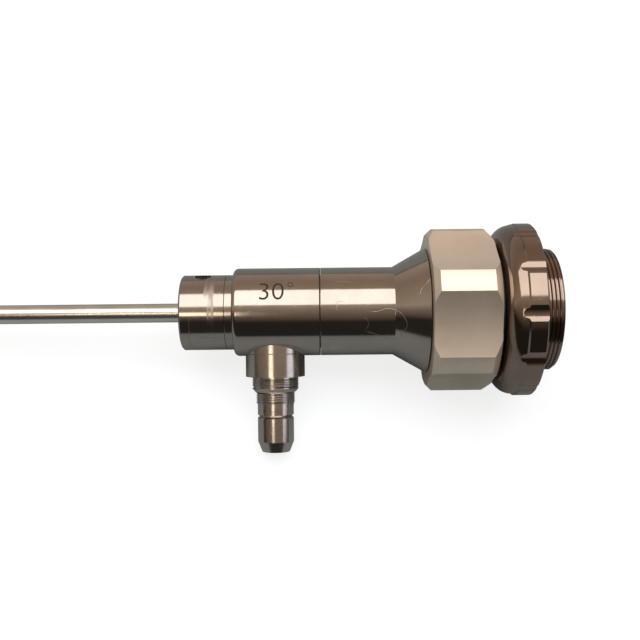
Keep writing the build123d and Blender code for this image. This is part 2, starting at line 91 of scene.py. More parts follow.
def stations(node):
    """Return where a CAD node starts and ends along the optical axis."""
    along = [point.x for point in bench_points(node)]
    return min(along), max(along)


def radii(node, start=-math.inf, end=math.inf):
    """Return a CAD node's smallest and largest radius between two stations."""
    reach = [math.hypot(p.y, p.z) for p in bench_points(node) if start <= p.x <= end]
    return min(reach), max(reach)


def wall_stations(node, test):
    """Return the stations of a CAD node's corners whose radius passes a test."""
    return [p.x for p in bench_points(node) if test(math.hypot(p.y, p.z))]


def post_station():
    """Return the station of the light post's axis."""
    return (TO_BENCH @ Vector(mounts["light_cable_post"]["pos_m"])).x


def post_corners(node):
    """Return a CAD node's corners as (reach, radius) pairs about the light post's axis."""
    return [(p.y, math.hypot(p.x - post_station(), p.z)) for p in bench_points(node)]


def post_stub():
    """Return the radius of the light post's stub, which goes through the body's wall."""
    inside, outside = 8, 9
    corners = post_corners("light_post")
    return min(radius for reach, radius in corners if inside < reach < outside)


def outer_line(corners, inside, start):
    """Return a turned piece's corners outside a radius, in order from a starting corner."""
    outside = [corner for corner in corners if corner[1] > inside]
    left = sorted({(round(along, 3), round(radius, 3)) for along, radius in outside})
    line = [start]
    while left:
        here = [corner for corner in left if corner[0] == left[0][0]]
        line.append(min(here, key=lambda corner: abs(corner[1] - line[-1][1])))
        left.remove(line[-1])
    return line


def around(angle):
    """Return the bench direction at an angle from the light post, in degrees."""
    turn = math.radians(angle)
    return Vector((0, math.cos(turn), -math.sin(turn)))


class EndoscopeFinish(bpy.types.PropertyGroup):
    """Colours and gloss of the endoscope's metals, glass and seals."""

    body_steel: FloatVectorProperty(
        name="Body steel",
        description="Colour of the polished body, housing and collar",
        subtype="COLOR", size=3, min=0, max=1, default=(0.50, 0.45, 0.40),
    )
    shaft_steel: FloatVectorProperty(
        name="Shaft steel",
        description="Colour of the drawn shaft tube",
        subtype="COLOR", size=3, min=0, max=1, default=(0.88, 0.86, 0.80),
    )
    post_steel: FloatVectorProperty(
        name="Post steel",
        description="Colour of the light post",
        subtype="COLOR", size=3, min=0, max=1, default=(0.58, 0.54, 0.50),
    )
    camera_ring: FloatVectorProperty(
        name="Camera ring",
        description="Colour of the scalloped camera ring and its thread",
        subtype="COLOR", size=3, min=0, max=1, default=(0.36, 0.28, 0.23),
    )
    focus_ring: FloatVectorProperty(
        name="Focus ring",
        description="Colour of the satin focus ring",
        subtype="COLOR", size=3, min=0, max=1, default=(0.92, 0.82, 0.69),
    )
    polish: FloatProperty(
        name="Polish",
        description="Roughness of the polished steel",
        subtype="FACTOR", min=0.02, max=1, default=0.10,
    )
    satin: FloatProperty(
        name="Satin",
        description="Roughness of the focus ring",
        subtype="FACTOR", min=0.02, max=1, default=0.38,
    )
    scratch_depth: FloatProperty(
        name="Scratches",
        description="Strength of the handling scratches",
        subtype="FACTOR", min=0, max=1, default=0.60,
    )


class EndoscopeDetail(bpy.types.PropertyGroup):
    """Sizes of the fine detail, in millimetres."""

    camera_pitch: FloatProperty(
        name="Camera thread pitch",
        description="Pitch of the camera thread, 32 turns to the inch",
        min=0.3, max=2, default=25.4 / 32,
    )
    camera_thread_depth: FloatProperty(
        name="Camera thread depth",
        description="Depth of the camera thread's turns",
        min=0.05, max=1, default=0.45,
    )
    post_pitch: FloatProperty(
        name="Post thread pitch",
        description="Pitch of the light post's two adaptor threads",
        min=0.2, max=1, default=0.5,
    )
    post_thread_depth: FloatProperty(
        name="Post thread depth",
        description="Depth of the adaptor threads' turns",
        min=0.05, max=0.5, default=0.22,
    )
    thread_lead: FloatProperty(
        name="Camera thread lead-in",
        description="Length of the chamfer that starts the camera thread",
        min=0.1, max=1, default=0.4,
    )
    edge_round: FloatProperty(
        name="Broken edge",
        description="Width of the rounding along turned edges",
        min=0.02, max=0.5, default=0.12,
    )
    number_height: FloatProperty(
        name="Number height",
        description="Height of the view angle's figures",
        min=1, max=8, default=3.4,
    )
    turn_steps: IntProperty(
        name="Turning steps",
        description="Faces around a turned piece",
        min=24, max=256, default=160,
    )


class EndoscopeStudio(bpy.types.PropertyGroup):
    """The table, the lamps and the camera."""

    table_width: FloatProperty(
        name="Table width",
        description="Width of the white table",
        subtype="DISTANCE", min=0.5, max=20, default=6.0,
    )
    camera_distance: FloatProperty(
        name="Camera distance",
        description="How far the camera stands from the optical axis",
        subtype="DISTANCE", min=0.05, max=2, default=0.175,
    )
    camera_lens: FloatProperty(
        name="Camera lens",
        description="Focal length on a 36 mm sensor, in millimetres",
        min=10, max=200, default=46.7,
    )
    key_power: FloatProperty(
        name="Overhead lamp",
        description="Power of the soft lamp over the table",
        subtype="POWER", min=0, max=100, default=3.1,
    )


def turned(steps, *corners):
    """Spin a closed outline of (station, radius) corners about the optical axis."""
    bm = bmesh.new()
    outline = [bm.verts.new((station, radius, 0)) for station, radius in corners]
    loop = [bm.edges.new(pair) for pair in zip(outline, outline[1:] + outline[:1])]
    bmesh.ops.spin(
        bm, geom=outline + loop, cent=(0, 0, 0), axis=(1, 0, 0), angle=FULL_TURN, steps=steps,
        use_merge=True,
    )
    return bm


def quarter_round(start, end, centre, segments=8):
    """Return the (station, radius) points of a quarter circle from one corner to another."""
    centre = Vector(centre)
    first, last = Vector(start) - centre, Vector(end) - centre
    swings = [math.pi / 2 * i / segments for i in range(segments + 1)]
    return [tuple(centre + first * math.cos(t) + last * math.sin(t)) for t in swings]


def seen_from(rearward, upward):
    """Return the world direction at two angles from the line to the camera, in degrees."""
    across, up = math.radians(rearward), math.radians(upward)
    return BENCH_TURN @ Vector((math.sin(across), -math.sin(up), -math.cos(across)))


def thread_coil(start, end, crest, depth, pitch, lead, steps):
    """Wind a thread's ridge round the optical axis, and taper it over its lead at the end.

    The ridge starts and ends a turn beyond the thread, and is cut square at both ends. Its foot
    is sunk into the core that it stands on.
    """
    bm = bmesh.new()
    half_foot, half_crest, foot = 0.46 * pitch, 0.07 * pitch, crest - 1.3 * depth
    turns = math.ceil((end - start) / pitch) + 2
    first = start - pitch
    section = ((first - half_foot, foot, 0), (first - half_crest, crest, 0),
               (first + half_crest, crest, 0), (first + half_foot, foot, 0))
    ridge = bm.faces.new([bm.verts.new(corner) for corner in section])
    bmesh.ops.spin(
        bm, geom=[ridge], cent=(0, 0, 0), axis=(1, 0, 0), angle=FULL_TURN * turns,
        steps=steps * turns, dvec=(pitch / steps, 0, 0),
    )
    for station, facing in ((start, -1), (end, 1)):
        bmesh.ops.bisect_plane(
            bm, geom=bm.verts[:] + bm.edges[:] + bm.faces[:], dist=1e-5,
            plane_co=(station, 0, 0), plane_no=(facing, 0, 0), clear_outer=True,
        )
        bmesh.ops.holes_fill(bm, edges=[edge for edge in bm.edges if edge.is_boundary])
    for vertex in bm.verts:
        allowed = crest - depth * max(0, vertex.co.x - (end - lead)) / lead
        reach = math.hypot(vertex.co.y, vertex.co.z)
        if reach > allowed:
            vertex.co.yz *= allowed / reach
    return bm


def carved(blank, cutter):
    """Cut one bench mesh out of another and return what is left. Both are used up."""
    made = []
    for name, bm in (("blank", blank), ("cutter", cutter)):
        bmesh.ops.recalc_face_normals(bm, faces=bm.faces)
        mesh = bpy.data.meshes.new(name)
        bm.to_mesh(mesh)
        bm.free()
        made.append(bpy.data.objects.new(name, mesh))
        bpy.context.scene.collection.objects.link(made[-1])
    carve = made[0].modifiers.new("Carve", "BOOLEAN")
    carve.operation = "DIFFERENCE"
    carve.solver = "EXACT"
    carve.object = made[1]
    reach = max(max(map(abs, vertex.co)) for vertex in made[0].data.vertices)
    left = bmesh.new()
    left.from_object(made[0], bpy.context.evaluated_depsgraph_get())
    if not left.verts or max(max(map(abs, vertex.co)) for vertex in left.verts) > reach + NEAR:
        raise RuntimeError("The cut took everything, or left material outside the blank")
    for piece in made:
        bpy.data.meshes.remove(piece.data)
    return left


def rod(radius, start, end, centres=((0, 0, 0),), segments=360):
    """Return a bench mesh of round bars that run rearward, one through each centre."""
    bm = bmesh.new()
    for centre in centres:
        made = bmesh.ops.create_cone(
            bm, cap_ends=True, segments=segments, radius1=radius, radius2=radius, depth=end - start,
            matrix=Matrix.Rotation(math.pi / 2, 4, "Y"),
        )
        middle = Vector(((start + end) / 2, 0, 0))
        bmesh.ops.translate(bm, vec=middle + Vector(centre), verts=made["verts"])
    return bm


def on_post(bm):
    """Swing a mesh made along the optical axis round onto the light post's axis."""
    bm.transform(Matrix.Translation((post_station(), 0, 0)) @ Matrix.Rotation(math.pi / 2, 4, "Z"))
    return bm


def finished(bm, name, body, material, replaced=(), soften=0.0):
    """Lay a bench mesh down as a named piece, with softened edges and even shading."""
    crisp, bevelled = math.radians(14), math.radians(25)
    bmesh.ops.remove_doubles(bm, verts=bm.verts, dist=1e-4)
    bmesh.ops.recalc_face_normals(bm, faces=bm.faces)
    bm.transform(LAY_DOWN)
    mesh = bpy.data.meshes.new(name)
    bm.to_mesh(mesh)
    bm.free()
    mesh.shade_smooth()
    mesh.set_sharp_from_angle(angle=crisp)
    mesh.materials.append(material)
    piece = bpy.data.objects.new(name, mesh)
    bpy.context.scene.collection.objects.link(piece)
    if soften:
        bevel = piece.modifiers.new("Broken edges", "BEVEL")
        bevel.width = soften * MM
        bevel.segments = 3
        bevel.limit_method = "ANGLE"
        bevel.angle_limit = bevelled
    piece.modifiers.new("Even shading", "WEIGHTED_NORMAL").keep_sharp = True
    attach(piece, body)
    if replaced:
        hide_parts(*replaced)


def socket_called(sockets, identifier):
    """Return the socket with an identifier, where several sockets share one name."""
    return next(socket for socket in sockets if socket.identifier == identifier)


class Recipe:
    """A material's node tree, built one node at a time."""

    def __init__(self, name):
        self.material = bpy.data.materials.new(name)
        self.material.use_nodes = True
        self.nodes = self.material.node_tree.nodes
        self.links = self.material.node_tree.links
        self.shader = self.nodes["Principled BSDF"]

    def add(self, kind, settings=None, **inputs):
        """Add a node, set its own settings, and set or link its inputs by name."""
        node = self.nodes.new(kind)
        for setting, value in (settings or {}).items():
            setattr(node, setting, value)
        for name, value in inputs.items():
            self.feed(node.inputs[name.replace("_", " ")], value)
        return node

    def feed(self, socket, value):
        """Link an output to a socket, or set the socket to a constant."""
        if isinstance(value, bpy.types.NodeSocket):
            self.links.new(value, socket)
        elif hasattr(socket.default_value, "__len__") and len(socket.default_value) == 4:
            socket.default_value = (*value[:3], 1)
        else:
            socket.default_value = value

    def bench_coordinates(self, stretch=(1, 1, 1)):
        """Return object coordinates turned to the bench frame, in stretched metres."""
        coordinates = self.add("ShaderNodeTexCoord").outputs["Object"]
        turned_to_bench = self.add(
            "ShaderNodeMapping", Vector=coordinates, Rotation=BENCH_TURN.transposed().to_euler()
        )
        return self.add(
            "ShaderNodeMapping", Vector=turned_to_bench.outputs["Vector"], Scale=stretch
        ).outputs["Vector"]

    def noise(self, vector, scale, detail=3.0, roughness=0.55):
        """Return a noise value that runs from 0 to 1."""
        return self.add(
            "ShaderNodeTexNoise", Vector=vector, Scale=scale, Detail=detail, Roughness=roughness
        ).outputs["Fac"]

    def spread(self, value, low, high, to_low=0.0, to_high=1.0):
        """Return a value spread from one range to another, held at its ends."""
        node = self.add("ShaderNodeMapRange", Value=value)
        limits = {"From Min": low, "From Max": high, "To Min": to_low, "To Max": to_high}
        for name, number in limits.items():
            node.inputs[name].default_value = number
        return node.outputs["Result"]

    def combine(self, first, second, operation="ADD"):
        """Return two values added, or put together by another operation."""
        node = self.add("ShaderNodeMath", {"operation": operation})
        self.feed(node.inputs[0], first)
        self.feed(node.inputs[1], second)
        return node.outputs["Value"]

    def blend(self, factor, first, second):
        """Return a colour between two others."""
        node = self.add("ShaderNodeMix", {"data_type": "RGBA"})
        for name, value in (("Factor_Float", factor), ("A_Color", first), ("B_Color", second)):
            self.feed(socket_called(node.inputs, name), value)
        return socket_called(node.outputs, "Result_Color")

    def bump(self, height, strength, distance, normal=None):
        """Return a normal bumped by a height, over another where one is given."""
        node = self.add("ShaderNodeBump", Height=height, Strength=strength, Distance=distance)
        if normal:
            self.links.new(normal, node.inputs["Normal"])
        return node.outputs["Normal"]

    def principled(self, **inputs):
        """Set or link the shader's sockets, and return the material."""
        for name, value in inputs.items():
            self.feed(self.shader.inputs[name.replace("_", " ")], value)
        return self.material


def shade(color, amount):
    """Return a colour made lighter or darker."""
    return tuple(min(1.0, channel * amount) for channel in color)


def polished_steel(name, color, roughness, scratches=0.0, lines=(2600, 25, 25), bands=0.0):
    """Polished metal with turning lines, faint stains, hairline scratches and rubbed bands."""
    recipe = Recipe(name)
    turning = recipe.noise(recipe.bench_coordinates(lines), 1.0, 4.0, 0.7)
    stain = recipe.noise(recipe.bench_coordinates(), 160, 4.0)
    contour = recipe.noise(recipe.bench_coordinates((0.5, 1, 1)), 210, 1.5, 0.4)
    off_line = recipe.combine(recipe.combine(contour, 0.5, "SUBTRACT"), 0.0, "ABSOLUTE")
    hairline = recipe.spread(off_line, 0.0015, 0.0045, 1.0, 0.0)
    patch = recipe.spread(recipe.noise(recipe.bench_coordinates(), 95, 1.0), 0.50, 0.58)
    scratch = recipe.combine(hairline, patch, "MULTIPLY")
    band = recipe.noise(recipe.bench_coordinates((700, 60, 60)), 1.0, 2.0)
    rubbed = recipe.spread(band, 0.6, 0.75)
    worn = recipe.combine(
        recipe.spread(turning, 0.3, 0.7, roughness * 0.75, roughness * 1.35),
        recipe.combine(
            recipe.combine(scratch, 0.5 * scratches, "MULTIPLY"),
            recipe.combine(rubbed, bands, "MULTIPLY"),
        ),
    )
    cut = recipe.combine(scratch, -1.0, "MULTIPLY")
    return recipe.principled(
        Base_Color=recipe.blend(
            recipe.spread(stain, 0.35, 0.7), shade(color, 0.93), shade(color, 1.06)
        ),
        Metallic=1.0,
        Roughness=worn,
        Normal=recipe.bump(cut, scratches, 2e-5, recipe.bump(turning, 0.05, 4e-6)),
    )


def satin_aluminium(name, color, roughness):
    """Fine-blasted anodised aluminium with a soft sheen and handling marks."""
    recipe = Recipe(name)
    blast = recipe.noise(recipe.bench_coordinates(), 5200, 2.0, 0.6)
    drawn = recipe.noise(recipe.bench_coordinates((90, 900, 900)), 1.0, 3.0)
    handled = recipe.noise(recipe.bench_coordinates(), 140, 3.0)
    uneven = recipe.combine(drawn, handled)
    return recipe.principled(
        Base_Color=recipe.blend(
            recipe.spread(handled, 0.35, 0.7), shade(color, 0.95), shade(color, 1.04)
        ),
        Metallic=0.68,
        Roughness=recipe.spread(uneven, 0.7, 1.3, roughness * 0.93, roughness * 1.07),
        Normal=recipe.bump(blast, 0.06, 1.2e-5),
    )


def black_anodised(name):
    """Matt black anodised aluminium with faint turning lines."""
    recipe = Recipe(name)
    turning = recipe.noise(recipe.bench_coordinates((1500, 20, 20)), 1.0)
    return recipe.principled(
        Base_Color=recipe.blend(turning, (0.018, 0.018, 0.02), (0.04, 0.04, 0.043)),
        Metallic=0.6,
        Roughness=recipe.spread(turning, 0.3, 0.7, 0.38, 0.55),
        Normal=recipe.bump(turning, 0.15, 1e-5),
    )


def black_rubber(name):
    """Matt black seal rubber with a fine mould texture."""
    recipe = Recipe(name)
    grain = recipe.noise(recipe.bench_coordinates(), 3500)
    return recipe.principled(
        Base_Color=recipe.blend(grain, (0.006, 0.006, 0.006), (0.016, 0.015, 0.015)),
        Roughness=recipe.spread(grain, 0.3, 0.7, 0.55, 0.75),
        Normal=recipe.bump(grain, 0.2, 1e-5),
    )


def coated_glass(name):
    """Clear optical glass, faintly uneven where it has been wiped."""
    recipe = Recipe(name)
    wiped = recipe.noise(recipe.bench_coordinates((1, 3, 1)), 220)
    return recipe.principled(
        Base_Color=(0.93, 0.97, 0.96),
        Roughness=recipe.spread(wiped, 0.4, 0.7, 0.0, 0.05),
        Transmission_Weight=1.0,
        IOR=1.52,
        Coat_Weight=0.6,
        Coat_Tint=(0.70, 0.62, 0.95),
    )


def fibre_ends(name):
    """The polished end of a bundle of glass fibres, each one a small warm dot."""
    recipe = Recipe(name)
    cells = recipe.add("ShaderNodeTexVoronoi", Vector=recipe.bench_coordinates(), Scale=14000.0)
    dot = recipe.spread(cells.outputs["Distance"], 0.2, 0.55, 1.0, 0.0)
    return recipe.principled(
        Base_Color=recipe.blend(dot, (0.18, 0.13, 0.08), (0.86, 0.80, 0.66)),
        Roughness=0.12,
        Coat_Weight=0.4,
        Normal=recipe.bump(dot, 0.2, 4e-6),
    )


def cast_resin(name):
    """Dark amber casting resin, faintly cloudy."""
    recipe = Recipe(name)
    cloud = recipe.noise(recipe.bench_coordinates(), 500)
    return recipe.principled(
        Base_Color=recipe.blend(cloud, (0.05, 0.03, 0.015), (0.14, 0.09, 0.05)),
        Roughness=recipe.spread(cloud, 0.3, 0.7, 0.15, 0.3),
    )


def engraved(name):
    """Blackened engraving."""
    recipe = Recipe(name)
    grain = recipe.noise(recipe.bench_coordinates(), 4000)
    return recipe.principled(
        Base_Color=recipe.blend(grain, (0.035, 0.026, 0.02), (0.075, 0.055, 0.042)),
        Roughness=recipe.spread(grain, 0.3, 0.7, 0.5, 0.8),
        Specular_IOR_Level=0.25,
    )


def finish_nodes(material, *names):
    """Give CAD nodes a material in place of their own."""
    for name in names:
        node = frame["nodes"][name]
        for place in node.material_slots:
            place.material = material


class ENDOSCOPE_OT_shaft(bpy.types.Operator):
    """Finish the drawn shaft, its ferrule and the glass and fibres of its oblique tip"""

    bl_idname = "endoscope.shaft"
    bl_label = "Shaft and tip"

    def execute(self, context):
        finish = context.scene.endoscope_finish
        steel = polished_steel("Drawn steel", finish.shaft_steel, 0.24, lines=(12, 500, 500))
        finish_nodes(steel, "outer_tube", "shaft_ferrule")
        glass = coated_glass("Tip glass")
        finish_nodes(glass, "distal_window", "prism", "objective_lens", "rod_lenses")
        finish_nodes(fibre_ends("Shaft fibre ends"), "shaft_fibres")
        return {"FINISHED"}


class ENDOSCOPE_OT_collar(bpy.types.Operator):
    """Turn the sheath collar with its spanner hole, and the lock ring behind it"""

    bl_idname = "endoscope.collar"
    bl_label = "Sheath collar"

    hole_radius, hole_depth, hole_setback, hole_angle = 1.65, 1.3, 4.5, 162.0

    def execute(self, context):
        finish = context.scene.endoscope_finish
        detail = context.scene.endoscope_detail
        steel = polished_steel(
            "Worn collar steel", finish.body_steel, 1.25 * finish.polish, finish.scratch_depth,
            bands=0.4,
        )
        front, rear = stations("sheath_collar")
        bore, outer = radii("sheath_collar")
        shoulder = radii("sheath_collar", end=front + NEAR)[1]
        recess = radii("sheath_collar", start=rear - NEAR)[0]
        floor = max(wall_stations("sheath_collar", lambda radius: radius < bore + NEAR))
        collar = turned(
            detail.turn_steps, (front, bore), (front, shoulder), (front + outer - shoulder, outer),
            (rear, outer), (rear, recess), (floor, recess), (floor, bore),
        )
        outward = around(self.hole_angle)
        mouth = outward * outer + Vector((front + self.hole_setback, 0, 0))
        drill = bmesh.new()
        bmesh.ops.create_cone(
            drill, cap_ends=True, segments=64, radius1=self.hole_radius, radius2=self.hole_radius,
            depth=2 * self.hole_depth,
            matrix=Matrix.Translation(mouth)
            @ outward.to_track_quat("Z", "X").to_matrix().to_4x4(),
        )
        finished(
            carved(collar, drill), "sheath_collar_turned", "scope", steel,
            ["sheath_collar"], detail.edge_round,
        )
        start, end = stations("lock_ring")
        bore, outer = radii("lock_ring")
        shoulder = radii("lock_ring", end=start + NEAR)[1]
        lock = turned(
            detail.turn_steps, (start, bore), (start, shoulder),
            (start + outer - shoulder, outer), (end, outer), (end, bore),
        )
        finished(
            lock, "lock_ring_turned", "scope", steel, ["lock_ring"],
            detail.edge_round / 2,
        )
        return {"FINISHED"}


class ENDOSCOPE_OT_front_body(bpy.types.Operator):
    """Turn the front body and engrave its view angle"""

    bl_idname = "endoscope.front_body"
    bl_label = "Front body"

    def execute(self, context):
        finish = context.scene.endoscope_finish
        detail = context.scene.endoscope_detail
        steel = polished_steel(
            "Body steel", finish.body_steel, finish.polish, 0.15 * finish.scratch_depth
        )
        nose, end = stations("front_body")
        face = stations("lock_ring")[1]
        outer = radii("front_body", start=face + 2)[1]
        face_radius = radii("front_body", face - NEAR, face + NEAR)[1]
        nose_bore, nose_radius = radii("front_body", end=nose + NEAR)
        bore, spigot = radii("front_body", start=end - NEAR)
        manifold = max(wall_stations("front_body", lambda radius: radius < nose_bore + NEAR))
        rear = max(wall_stations("front_body", lambda radius: radius > outer - NEAR))
        edge = outer - face_radius
        body = turned(
            detail.turn_steps, (nose, nose_bore), (nose, nose_radius), (face, nose_radius),
            *quarter_round((face, face_radius), (face + edge, outer), (face + edge, face_radius)),
            (rear, outer), (rear, spigot), (end, spigot), (end, bore), (manifold, bore),
            (manifold, nose_bore),
        )
        port = on_post(rod(post_stub() + SEAT_GAP, 0, outer + 2))
        finished(
            carved(body, port), "front_body_turned", "scope", steel, ["front_body"],
            detail.edge_round / 4,
        )
        self.number(detail.number_height, outer, face)
        return {"FINISHED"}

    def number(self, height, radius, face):
        """Lay the view angle, as a plain number, round the body where the camera sees it."""
        above, strip, figure_share, thinning = 0.015, 0.2, 0.61, -0.055
        # Each sign has its text, its height, its station behind the face and its angle up.
        signs = (("30", height, 8.1, 25.5), ("\u00b0", 0.85 * height, 12.0, 27.5))
        figures = bmesh.new()
        for text, size, setback, angle in signs:
            data = bpy.data.curves.new("view_angle", "FONT")
            data.body = text
            data.size = size / figure_share
            data.align_x = "CENTER"
            data.offset = thinning
            data.resolution_u = 6
            lettering = bpy.data.objects.new("view_angle", data)
            bpy.context.scene.collection.objects.link(lettering)
            flat = bpy.data.meshes.new_from_object(
                lettering.evaluated_get(bpy.context.evaluated_depsgraph_get())
            )
            low = math.radians(angle) * radius - size / 2
            flat.transform(Matrix.Translation((face + setback, low, 0)))
            figures.from_mesh(flat)
            bpy.data.meshes.remove(flat)
            bpy.data.objects.remove(lettering)
            bpy.data.curves.remove(data)
        low = min(vertex.co.y for vertex in figures.verts)
        high = max(vertex.co.y for vertex in figures.verts)
        for row in range(1, math.ceil((high - low) / strip)):
            bmesh.ops.bisect_plane(
                figures, geom=figures.verts[:] + figures.edges[:] + figures.faces[:],
                plane_co=(0, low + strip * row, 0), plane_no=(0, 1, 0),
            )
        for vertex in figures.verts:
            swing = vertex.co.y / radius
            reach = radius + above
            vertex.co = (vertex.co.x, -reach * math.sin(swing), -reach * math.cos(swing))
        engraving = engraved("Blackened engraving")
        finished(figures, "view_angle_number", "scope", engraving)


class ENDOSCOPE_OT_light_post(bpy.types.Operator):
    """Turn the light post with its scribe line, two adaptor threads and snap groove"""

    bl_idname = "endoscope.light_post"
    bl_label = "Light post"

    def execute(self, context):
        finish = context.scene.endoscope_finish
        detail = context.scene.endoscope_detail
        steel = polished_steel(
            "Post steel", finish.post_steel, 1.8 * finish.polish, 0.3 * finish.scratch_depth,
            (25, 7000, 25),
        )
        depth = detail.post_thread_depth
        corners = post_corners("light_post")
        body, seat = radii("front_body")[1], radii("fibre_manifold")[1]
        boss = round(max(radius for reach, radius in corners), 3)
        end = max(reach for reach, radius in corners)
        plug, widest_bore = 20, 2.5
        inside = [corner for corner in corners if corner[0] > plug and corner[1] < widest_bore]
        fibre_bore, ferrule_bore = sorted({round(radius, 3) for reach, radius in inside})
        ferrule = min(reach for reach, radius in inside)
        beyond = [(reach, radius) for reach, radius in corners if reach > body + 1]
        line = outer_line(beyond, ferrule_bore + NEAR, (seat, boss))
        # The straight walls run boss, neck, upper thread, relief, lower thread, plug, plug end.
        walls = [i for i in range(len(line) - 1) if line[i][1] == line[i + 1][1]]
        threads = {"upper_adaptor_thread": walls[2], "lower_adaptor_thread": walls[4]}
        cores = list(line)
        for wall in threads.values():
            for corner in (wall, wall + 1):
                cores[corner] = (line[corner][0], line[corner][1] - depth)
        scribe = [(8.6, boss), (8.7, boss - 0.1), (8.8, boss)]
        post = on_post(turned(
            detail.turn_steps, (seat, fibre_bore), cores[0], *scribe, *cores[1:],
            (end, ferrule_bore), (ferrule, ferrule_bore), (ferrule, fibre_bore),
        ))
        for name, wall in threads.items():
            coil = thread_coil(
                line[wall][0], line[wall + 1][0], line[wall][1], depth, detail.post_pitch, depth,
                detail.turn_steps // 2,
            )
            finished(on_post(coil), name, "scope", steel)
        reach = 3 * body
        saddle = carved(
            rod(body + SEAT_GAP, post_station() - reach, post_station() + reach),
            on_post(rod(post_stub(), 0, reach)),
        )
        finished(
            carved(post, saddle), "light_post_turned", "scope", steel, ["light_post"],
            detail.edge_round / 3,
        )
        finish_nodes(fibre_ends("Post fibre ends"), "post_fibres")
        return {"FINISHED"}


class ENDOSCOPE_OT_rear_housing(bpy.types.Operator):
    """Turn the rear housing with its cone, and mould the black seal ahead of it"""

    bl_idname = "endoscope.rear_housing"
    bl_label = "Rear housing"

    def execute(self, context):
        finish = context.scene.endoscope_finish
        detail = context.scene.endoscope_detail
        steel = polished_steel(
            "Housing steel", finish.body_steel, finish.polish, finish.scratch_depth
        )
        front, rear = stations("rear_housing")
        inner, outer = radii("rear_housing", end=front + NEAR)
        socket, mouth = radii("rear_housing", start=rear - NEAR)
        cone = max(wall_stations("rear_housing", lambda radius: abs(radius - outer) < NEAR))
        flange = max(wall_stations("rear_housing", lambda radius: abs(radius - inner) < NEAR))
        step = min(wall_stations("rear_housing", lambda radius: abs(radius - socket) < NEAR))
        bore = radii("rear_housing", flange - NEAR, flange + NEAR)[1]
        housing = turned(
            detail.turn_steps, (front, inner), (front, outer), (cone, outer), (rear, mouth),
            (rear, socket), (step, socket), (step, bore), (flange, bore), (flange, inner),
        )
        finished(
            housing, "rear_housing_turned", "coupler", steel, ["rear_housing"],
            detail.edge_round / 4,
        )
        rubber = black_rubber("Seal rubber")
        start, end = stations("seam_seal")
        seal_bore, seal_outer = radii("seam_seal")[0], outer - 0.04
        seal = turned(
            detail.turn_steps, (start, seal_bore), (start, seal_outer), (end, seal_outer),
            (end, seal_bore),
        )
        finished(seal, "seam_seal_moulded", "scope", rubber, ["seam_seal"])
        finish_nodes(rubber, "ring_seals", "journal_seal")
        return {"FINISHED"}


class ENDOSCOPE_OT_focus_ring(bpy.types.Operator):
    """Turn the focus ring and mill its six finger hollows"""

    bl_idname = "endoscope.focus_ring"
    bl_label = "Focus ring"

    hollows, hollow_radius, hollow_depth, hollow_angle = 6, 31.5, 2.0, 19.2

    def execute(self, context):
        finish = context.scene.endoscope_finish
        detail = context.scene.endoscope_detail
        satin = satin_aluminium("Champagne anodising", finish.focus_ring, finish.satin)
        front, rear = stations("focus_ring")
        bore, outer = radii("focus_ring")
        ahead = outer - radii("focus_ring", end=front + NEAR)[1]
        behind = outer - radii("focus_ring", start=rear - NEAR)[1]
        ring = turned(
            detail.turn_steps, (front, bore), (front, outer - ahead), (front + ahead, outer),
            (rear - behind, outer), (rear, outer - behind), (rear, bore),
        )
        reach = outer - self.hollow_depth + self.hollow_radius
        for i in range(self.hollows):
            centre = around(self.hollow_angle + i * 360 / self.hollows) * reach
            ring = carved(ring, rod(self.hollow_radius, front - 1, rear + 1, [centre], 240))
        finished(
            ring, "focus_ring_milled", "focus_ring", satin, ["focus_ring"],
            detail.edge_round / 2,
        )
        return {"FINISHED"}


class ENDOSCOPE_OT_camera_ring(bpy.types.Operator):
    """Turn the scalloped camera ring and cut its male thread"""

    bl_idname = "endoscope.camera_ring"
    bl_label = "Camera ring"

    edge_step, front_round = 0.3, 3.6
    scallops, scallop_radius, scallop_depth, scallop_angle = 12, 3.1, 0.5, 27.0

    def execute(self, context):
        finish = context.scene.endoscope_finish
        detail = context.scene.endoscope_detail
        steel = polished_steel(
            "Bronzed steel", finish.camera_ring, finish.polish, 0.2 * finish.scratch_depth
        )
        step, bend = self.edge_step, self.front_round
        front, rear = stations("camera_ring")
        bore, outer = radii("camera_ring")
        round_start = radii("camera_ring", end=front + NEAR)[1]
        pocket = radii("camera_ring", start=rear - NEAR)[0]
        thread = radii("camera_ring", start=1)[1]
        core = thread - detail.camera_thread_depth
        lip = max(wall_stations("camera_ring", lambda radius: radius < bore + NEAR))
        rounded = quarter_round(
            (front, round_start), (front + bend, outer - step), (front + bend, round_start)
        )
        ring = turned(
            detail.turn_steps, (front, bore), *rounded, (front + bend + step, outer),
            (-step, outer), (0, outer - step), (0, core), (rear, core), (rear, pocket),
            (lip, pocket), (lip, bore),
        )
        reach = outer - self.scallop_depth + self.scallop_radius
        angles = [self.scallop_angle + i * 360 / self.scallops for i in range(self.scallops)]
        centres = [around(angle) * reach for angle in angles]
        ring = carved(ring, rod(self.scallop_radius, front - 1, step, centres, 64))
        finished(
            ring, "camera_ring_cut", "camera_ring", steel, ["camera_ring"]
        )
        coil = thread_coil(
            0, rear, thread, detail.camera_thread_depth, detail.camera_pitch, detail.thread_lead,
            detail.turn_steps,
        )
        finished(coil, "camera_thread_turns", "camera_ring", steel)
        return {"FINISHED"}


